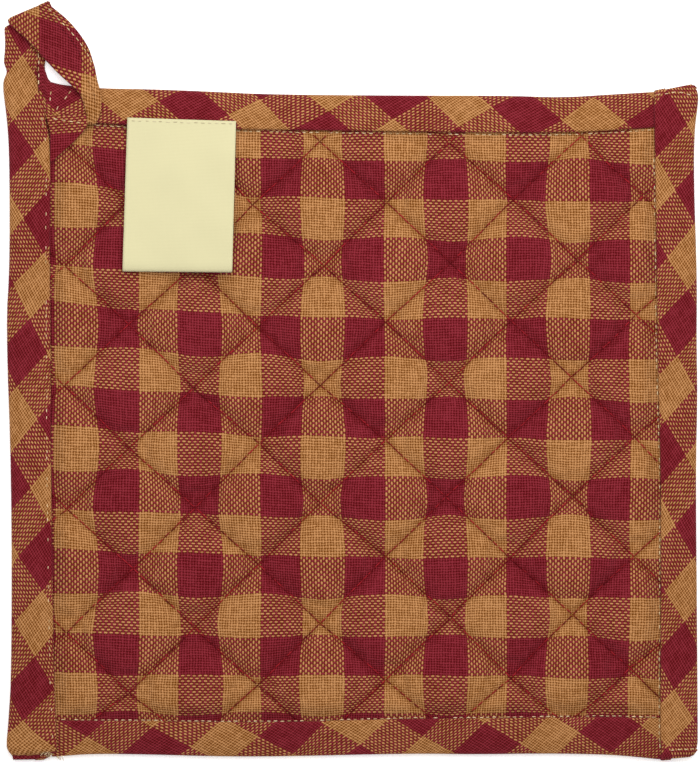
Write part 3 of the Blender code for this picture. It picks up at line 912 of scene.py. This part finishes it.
left_rings = UNDER_END + turned_end(LEFT)[1:] + [ring(row) for row in LEFT[1:-1]] + [ring(LEFT[-1], 0.0, 4.3)]
left_rings += [ring(row, low, high) for row, low, high in TAIL_UP]
left_rings += [ring(CREASE, 0.0, 1.8, 0.0), ring(CREASE, 0.0, 1.8, 0.0)]
left_rings += [ring(CREASE, 2.1, 3.9, 1.0), ring(CREASE, 2.1, 3.9, 1.0)]
left_rings += [ring(row, low, high, 1.0) for row, low, high in TAIL_DOWN]
left_binding, at, points, reach = make_strip("left_binding_cloth", left_rings)
pulled_out = np.interp(points[:, 1], [-109.0, -100.0], [9.5, ROW_APART])
left_counts = bias_counts(LEFT_LATTICE, 3, points[:, 1], at[:, 2] - reach, pulled_out)
left_counts += np.where(points[:, 1] < -110.7, CHECK_THREADS, 0)[:, None]
tape_columns = 1 + (points[:, 0] - TAPE_X) / TAPE_CHECK_WIDE
tape_rows = 1 + (TAPE_Y - points[:, 1] - 0.33 * (points[:, 0] - TAPE_X)) / TAPE_CHECK_HIGH
tape_rows = np.where(tape_rows > 2, 2 + 0.72 * (tape_rows - 2), tape_rows)
tape_counts = np.column_stack([tape_columns, tape_rows]) * CHECK_THREADS
corners = corner_points(left_binding)
turned_over = np.repeat(at[corners, 6].reshape(-1, 4).mean(axis=1) > 0.5, 4)[:, None]
left_counts = np.where(turned_over, tape_counts[corners], left_counts[corners])
points[:, 2] = relief(points, at, 0.9, 25, end=TAIL_FROM)
finish_strip(left_binding, points, left_counts)
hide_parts("binding_left", "hanging_loop")

# %% [markdown]
# The loop's raw end comes out below the stitch line that catches it. It is a small three-cornered flap, laid
# on the pad beside the left strip.

# %% Loop's end
FLAP_ROWS = [
    (78.2, -90.0, -77.0, 5.5), (76.4, -89.6, -77.4, 5.5), (74.6, -89.0, -78.0, 5.1),
    (73.0, -88.7, -79.4, 4.7), (69.2, -88.7, -83.1, 4.9), (66.2, -88.7, -86.6, 4.9),
    (64.6, -88.7, -88.0, 4.8),
]
FLAP_CELLS = (26, 36)
FLAP_X, FLAP_Y = -83.5, 72.6
FLAP_CHECK_WIDE, FLAP_CHECK_HIGH = 12.4, 12.1

flap_rows = rounded(FLAP_ROWS, 2)
flap_rows = spaced(flap_rows, np.abs(flap_rows[:, 0] - flap_rows[0, 0]), FLAP_CELLS[1] + 1)
flap, column, row = flat_cloth("loop_end_flap", *FLAP_CELLS)
share = column / FLAP_CELLS[0]
flap_x = blend(flap_rows[row, 1], flap_rows[row, 2], share)
flap_y = flap_rows[row, 0]
pad_below = np.array([height_of([pad], x, y) for x, y in zip(flap_x, flap_y)])
flap_z = np.where(flap_y > 75.0, flap_rows[row, 3], np.maximum(pad_below + 0.55, flap_rows[row, 3]))
flap_z = flap_z + 0.08 * ripples(flap_x, flap_y, 4, 12, 6, 41)
move_points(flap, np.column_stack([flap_x, flap_y, flap_z]))
flap_columns = 1.5 + (flap_x - FLAP_X) / FLAP_CHECK_WIDE
flap_lines = 1 + (FLAP_Y - flap_y + 0.08 * (flap_x + 88.5)) / FLAP_CHECK_HIGH
flap_counts = np.column_stack([flap_columns, flap_lines]) * CHECK_THREADS
count_threads(flap, flap_counts[corner_points(flap)])
stiffen(flap)
dress(flap, bias_cotton)

# %% [markdown]
# The label is a ribbon folded in two, with its ends sewn over the top binding. It is left bare.

# %% The label
LABEL_LEFT = ((-65.9, 77.5), (-67.3, 32.0))
LABEL_RIGHT = ((-33.9, 76.4), (-35.0, 31.7))
LABEL_LONG, LABEL_WIDE = 45.0, 32.0
LABEL_CELLS = (40, 130)
LABEL_CREAM = (0.588, 0.543, 0.315, 1)
LABEL_SIDE = [
    (0.0, 5.75), (9.0, 6.05), (20.0, 6.15), (33.0, 6.4), (43.4, 6.3), (44.7, 6.4), (45.0, 7.0), (44.6, 7.6),
    (43.2, 7.75), (33.0, 7.6), (20.0, 7.3), (9.0, 7.0), (1.5, 6.5), (0.0, 6.45),
]


def ribbon():
    """Cream woven ribbon: fine ribs across it and a faint satin line along, with painted shade in their
    hollows and across the fold.
    """
    material, start, shader = new_material("cream ribbon", Sheen_Weight=0.2, Specular_IOR_Level=0.3)
    counts = start.node("ShaderNodeUVMap", {"uv_map": "UVMap"})
    across = counts.part(0)
    along = counts.part(1)
    ribs = (along * (2 * math.pi / 0.42)).cosine()
    lines = (across * (2 * math.pi / 0.36)).cosine()
    high = ribs * 0.6 + lines * 0.4
    place = start.node("ShaderNodeTexCoord", {}, {}, "Object")
    cloudy = start.noise(place, 60.0, 3.0)
    shade = high.ramp(-1.0, 1.0, 0.94, 1.0) * cloudy.ramp(0.2, 0.8, 0.97, 1.02)
    # A band of painted shade across the label's fold.
    fold = along.ramp(LABEL_LONG - 3.5, LABEL_LONG + 0.5)
    fold = fold * along.ramp(LABEL_LONG + 1.0, LABEL_LONG + 4.0, 1.0, 0.0)
    painted_shade_and_tone = shade * (1.0 - 0.08 * fold)
    colour = painted_shade_and_tone.mixed((0, 0, 0, 1), LABEL_CREAM)
    colour.to(shader, "Base Color")
    rough = cloudy.ramp(0.2, 0.8, 0.62, 0.74)
    rough.to(shader, "Roughness")
    bump = start.node("ShaderNodeBump", {}, {"Strength": 0.3, "Distance": 0.00005, "Height": high})
    bump.to(shader, "Normal")
    return material


label_side = rounded(LABEL_SIDE, 2)
label_side = spaced(label_side, lengths(label_side), LABEL_CELLS[1] + 1)
label, column, row = flat_cloth("label_ribbon", *LABEL_CELLS)
share = (column / LABEL_CELLS[0])[:, None]
along = label_side[row]
down = (along[:, 0] / LABEL_LONG)[:, None]
flat = blend(blend(*LABEL_LEFT, down), blend(*LABEL_RIGHT, down), share)
sway = 0.14 * ripples(flat[:, 0], flat[:, 1], 12, 30, 8, 31) * np.clip(along[:, 0] / 12, 0, 1)
lifted = 1.3 * share[:, 0] ** 3 * np.clip(along[:, 0] / 9, 0, 1)
move_points(label, np.column_stack([flat, along[:, 1] + sway + lifted]))
label_places = np.column_stack([column / LABEL_CELLS[0] * LABEL_WIDE, lengths(label_side)[row]])
count_threads(label, label_places[corner_points(label)])
stiffen(label)
dress(label, ribbon())
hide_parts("label")

# %% [markdown]
# A stitch shows as a short length of thread that comes up out of the cloth, lies on it and dips back in.
# One is modelled from a ball, drawn out and bent down at both ends. Each seam is a single mesh of its
# copies, laid end to end on the cloth below them.

# %% One stitch
deselect()
bpy.ops.mesh.primitive_uv_sphere_add(segments=6, ring_count=6, radius=1.0)
pattern = bpy.context.object
pattern.name = "stitch_pattern"
ball = np.array([v.co for v in pattern.data.vertices])
STITCH_FACES = [tuple(face.vertices) for face in pattern.data.polygons]
STITCH_ALONG = ball[:, 2] * 0.5
plump = np.sqrt(np.clip(1 - ball[:, 2] ** 4, 0, 1)) / np.maximum(np.hypot(ball[:, 0], ball[:, 1]), 1e-6)
STITCH_SIDE = ball[:, 0] * plump
STITCH_UP = ball[:, 1] * plump - 0.7 * ball[:, 2] ** 4
bpy.data.objects.remove(pattern, do_unlink=True)
print("faces in a stitch:", len(STITCH_FACES))


def sew(name, seams, pieces, material, thick, pitch, long, lift=0.0, hang=None, shown=1.0):
    """Makes one mesh of the stitches of several seams, each a list of places in millimetres.

    Where there is no cloth below, an end hangs at a height of its own, or the stitch is left out. Stitches
    beyond the share that is shown have sunk into the cloth.
    """
    points, faces = [], []
    for seam in seams:
        line = rounded(seam, 1)
        reach = lengths(line)
        count = max(1, int(reach[-1] / pitch))
        starts = (np.arange(count) + 0.5) * reach[-1] / count - long / 2
        starts = starts + rng.uniform(-0.06, 0.06, count) * pitch
        for start in starts:
            end = start + long * rng.uniform(0.82, 1.08)
            ends = [[np.interp(at, reach, line[:, axis]) for axis in (0, 1)] for at in (start, end)]
            ends = np.array([(x, y, height_of(pieces, x, y) + lift) for x, y in ends])
            if ends[:, 2].min() < 1.0:
                if hang is None:
                    continue
                ends[:, 2] = np.where(ends[:, 2] < 1.0, hang, ends[:, 2])
            if rng.random() > shown:
                continue
            drift = rng.uniform(-0.07, 0.07, 2)
            ends[:, :2] += drift
            run = ends[1] - ends[0]
            side = np.array([-run[1], run[0], 0.0]) / math.hypot(run[0], run[1])
            middle = ends.mean(axis=0)
            stitch = middle + np.outer(STITCH_ALONG, run) + np.outer(STITCH_SIDE, side) * thick
            stitch[:, 2] += STITCH_UP * thick
            faces += [tuple(corner + len(points) for corner in face) for face in STITCH_FACES]
            points += [tuple(point * MM) for point in stitch + (0, CENTRE_Y, 0)]
    mesh = bpy.data.meshes.new(name)
    mesh.from_pydata(points, [], faces)
    mesh.update()
    thread = bpy.data.objects.new(name, mesh)
    bpy.context.scene.collection.objects.link(thread)
    dress(thread, material)


# %% [markdown]
# Sewing thread is finer than the yarns, with a hard twist and a slight gloss. Its colour wanders where it
# dips and catches the light, so noise mixes a deep tone and a pale one.


# %% Threads
def thread_material(name, deep, pale):
    material, start, shader = new_material(name, Specular_IOR_Level=0.12)
    place = start.node("ShaderNodeTexCoord", {}, {}, "Object")
    tone = start.noise(place, 420.0, 2.0)
    colour = tone.ramp(0.35, 0.65).mixed(deep, pale)
    colour.to(shader, "Base Color")
    rough = tone.ramp(0.3, 0.7, 0.75, 0.55)
    rough.to(shader, "Roughness")
    return material


red_thread = thread_material("red quilting thread", (0.09, 0.001, 0.003, 1), (0.3, 0.009, 0.016, 1))
cream_thread = thread_material("cream sewing thread", (0.4, 0.25, 0.11, 1), (0.78, 0.61, 0.37, 1))
brown_thread = thread_material("brown label thread", (0.34, 0.28, 0.18, 1), (0.52, 0.46, 0.31, 1))

# %% [markdown]
# The quilting runs from crossing to crossing, and on under the bindings.

# %% Quilting stitches
quilting = []
for i in range(len(COLUMNS) - 1):
    for j in range(len(ROWS)):
        if (i + j) % 2 == 0:
            continue
        for k in (j - 1, j + 1):
            if 0 <= k < len(ROWS):
                line = np.linspace((COLUMNS[i], ROWS[j]), (COLUMNS[i + 1], ROWS[k]), 9)
                line = line + np.column_stack(stray(line[:, 0], line[:, 1]))
                kept = line[inside_bindings(line[:, 0], line[:, 1]) > -1.5]
                if len(kept) > 1:
                    quilting.append(kept)
sew("quilting_thread", quilting, [pad], red_thread, 0.19, 2.35, 2.5, 0.2)

# %% [markdown]
# The cream topstitching holds the bindings down. It runs beside their inner edges, on the cloth at the left
# and just off it elsewhere.


# %% Topstitching
def beside(rows, axis, start, end, shift):
    """A seam along a binding's inner edge, shifted off it."""
    at = np.linspace(start, end, 60)
    line = inner_line(rows, axis, at) + shift
    return np.column_stack([at, line] if axis == 0 else [line, at])


topstitching = [
    beside(TOP, 0, -75.6, 89.2, -0.45),
    beside(BOTTOM, 0, -86.0, 90.5, 0.05),
    beside(RIGHT, 1, -109.0, 66.0, -0.15),
    [(92.0, -109.2), (101.8, -108.6)],
    [(-88.4, 85.8), (-88.7, 84.2), (-88.8, 81.8)],
    [(-82.5, 85.8), (-83.5, 84.3), (-84.8, 82.6), (-86.3, 81.2), (-87.0, 79.4)],
    [(-88.2, 77.2), (-84.2, 76.6), (-81.9, 76.3), (-77.7, 75.5), (-74.7, 75.5)],
]
cloths = [pad, top_binding, bottom_binding, right_binding, left_binding, flap]
sew("edge_topstitching", topstitching, cloths, cream_thread, 0.17, 1.95, 1.25, 0.05, shown=0.9)

tape_seam = [(-89.6, 110.0), (-86.3, 106.6), (-83.3, 103.6), (-80.4, 100.2), (-77.8, 96.6), (-76.2, 93.2)]
tape_up = [(-92.2, 87.0), (-92.2, 92.0), (-92.4, 97.0)]
ear_seam = [(89.9, 84.3), (93.0, 84.6), (96.5, 85.2), (100.6, 84.2)]
left_seam = [beside(LEFT, 1, -108.0, 84.0, -1.3)]
loop_seams = [tape_seam, tape_up, ear_seam]
sew("left_topstitching", left_seam, cloths, cream_thread, 0.12, 2.0, 1.15, -0.02, shown=0.4)
sew("loop_stitching", loop_seams, cloths, cream_thread, 0.15, 1.9, 1.25, 0.05)

# %% [markdown]
# The left strip's raw end peeps out at the lower left corner, and a few of its yarns have come loose there.

# %% Loose yarns
FRAY_START, FRAY_END = (-90.4, -109.4), (-85.8, -110.5)
loose = []
for share in np.linspace(0, 1, 16) ** 1.6:
    root = blend(FRAY_START, FRAY_END, share) + rng.uniform(-0.3, 0.3, 2)
    turn = rng.uniform(-2.6, -0.6)
    loose.append([tuple(root), tuple(root + 2.1 * np.array([math.cos(turn), math.sin(turn)]))])
sew("loose_yarns", loose, cloths, cream_thread, 0.09, 3.0, 1.9, 0.05, hang=1.7)

# %% [markdown]
# Brown stitches hold the label's ends, side by side along its top.

# %% Label stitches
label_seam = [[(-65.2, 76.6), (-50.0, 76.0), (-34.5, 75.6)]]
sew("label_stitching", label_seam, [label], brown_thread, 0.13, 1.95, 1.25, 0.03)

# %% [markdown]
# The floor is a white sheet on a light table, whose glow keeps the shadows faint. It isn't part of the object.

# %% Floor
deselect()
bpy.ops.mesh.primitive_plane_add(size=6, location=(0, 0, 0))
floor = bpy.context.object
floor.name = "paper_floor"
paper, start, shader = new_material("white paper", Base_Color=(0.93, 0.93, 0.93, 1), Roughness=0.9)
shader.inputs["Emission Color"].default_value = (1, 1, 1, 1)
shader.inputs["Emission Strength"].default_value = 0.4
floor.data.materials.append(paper)
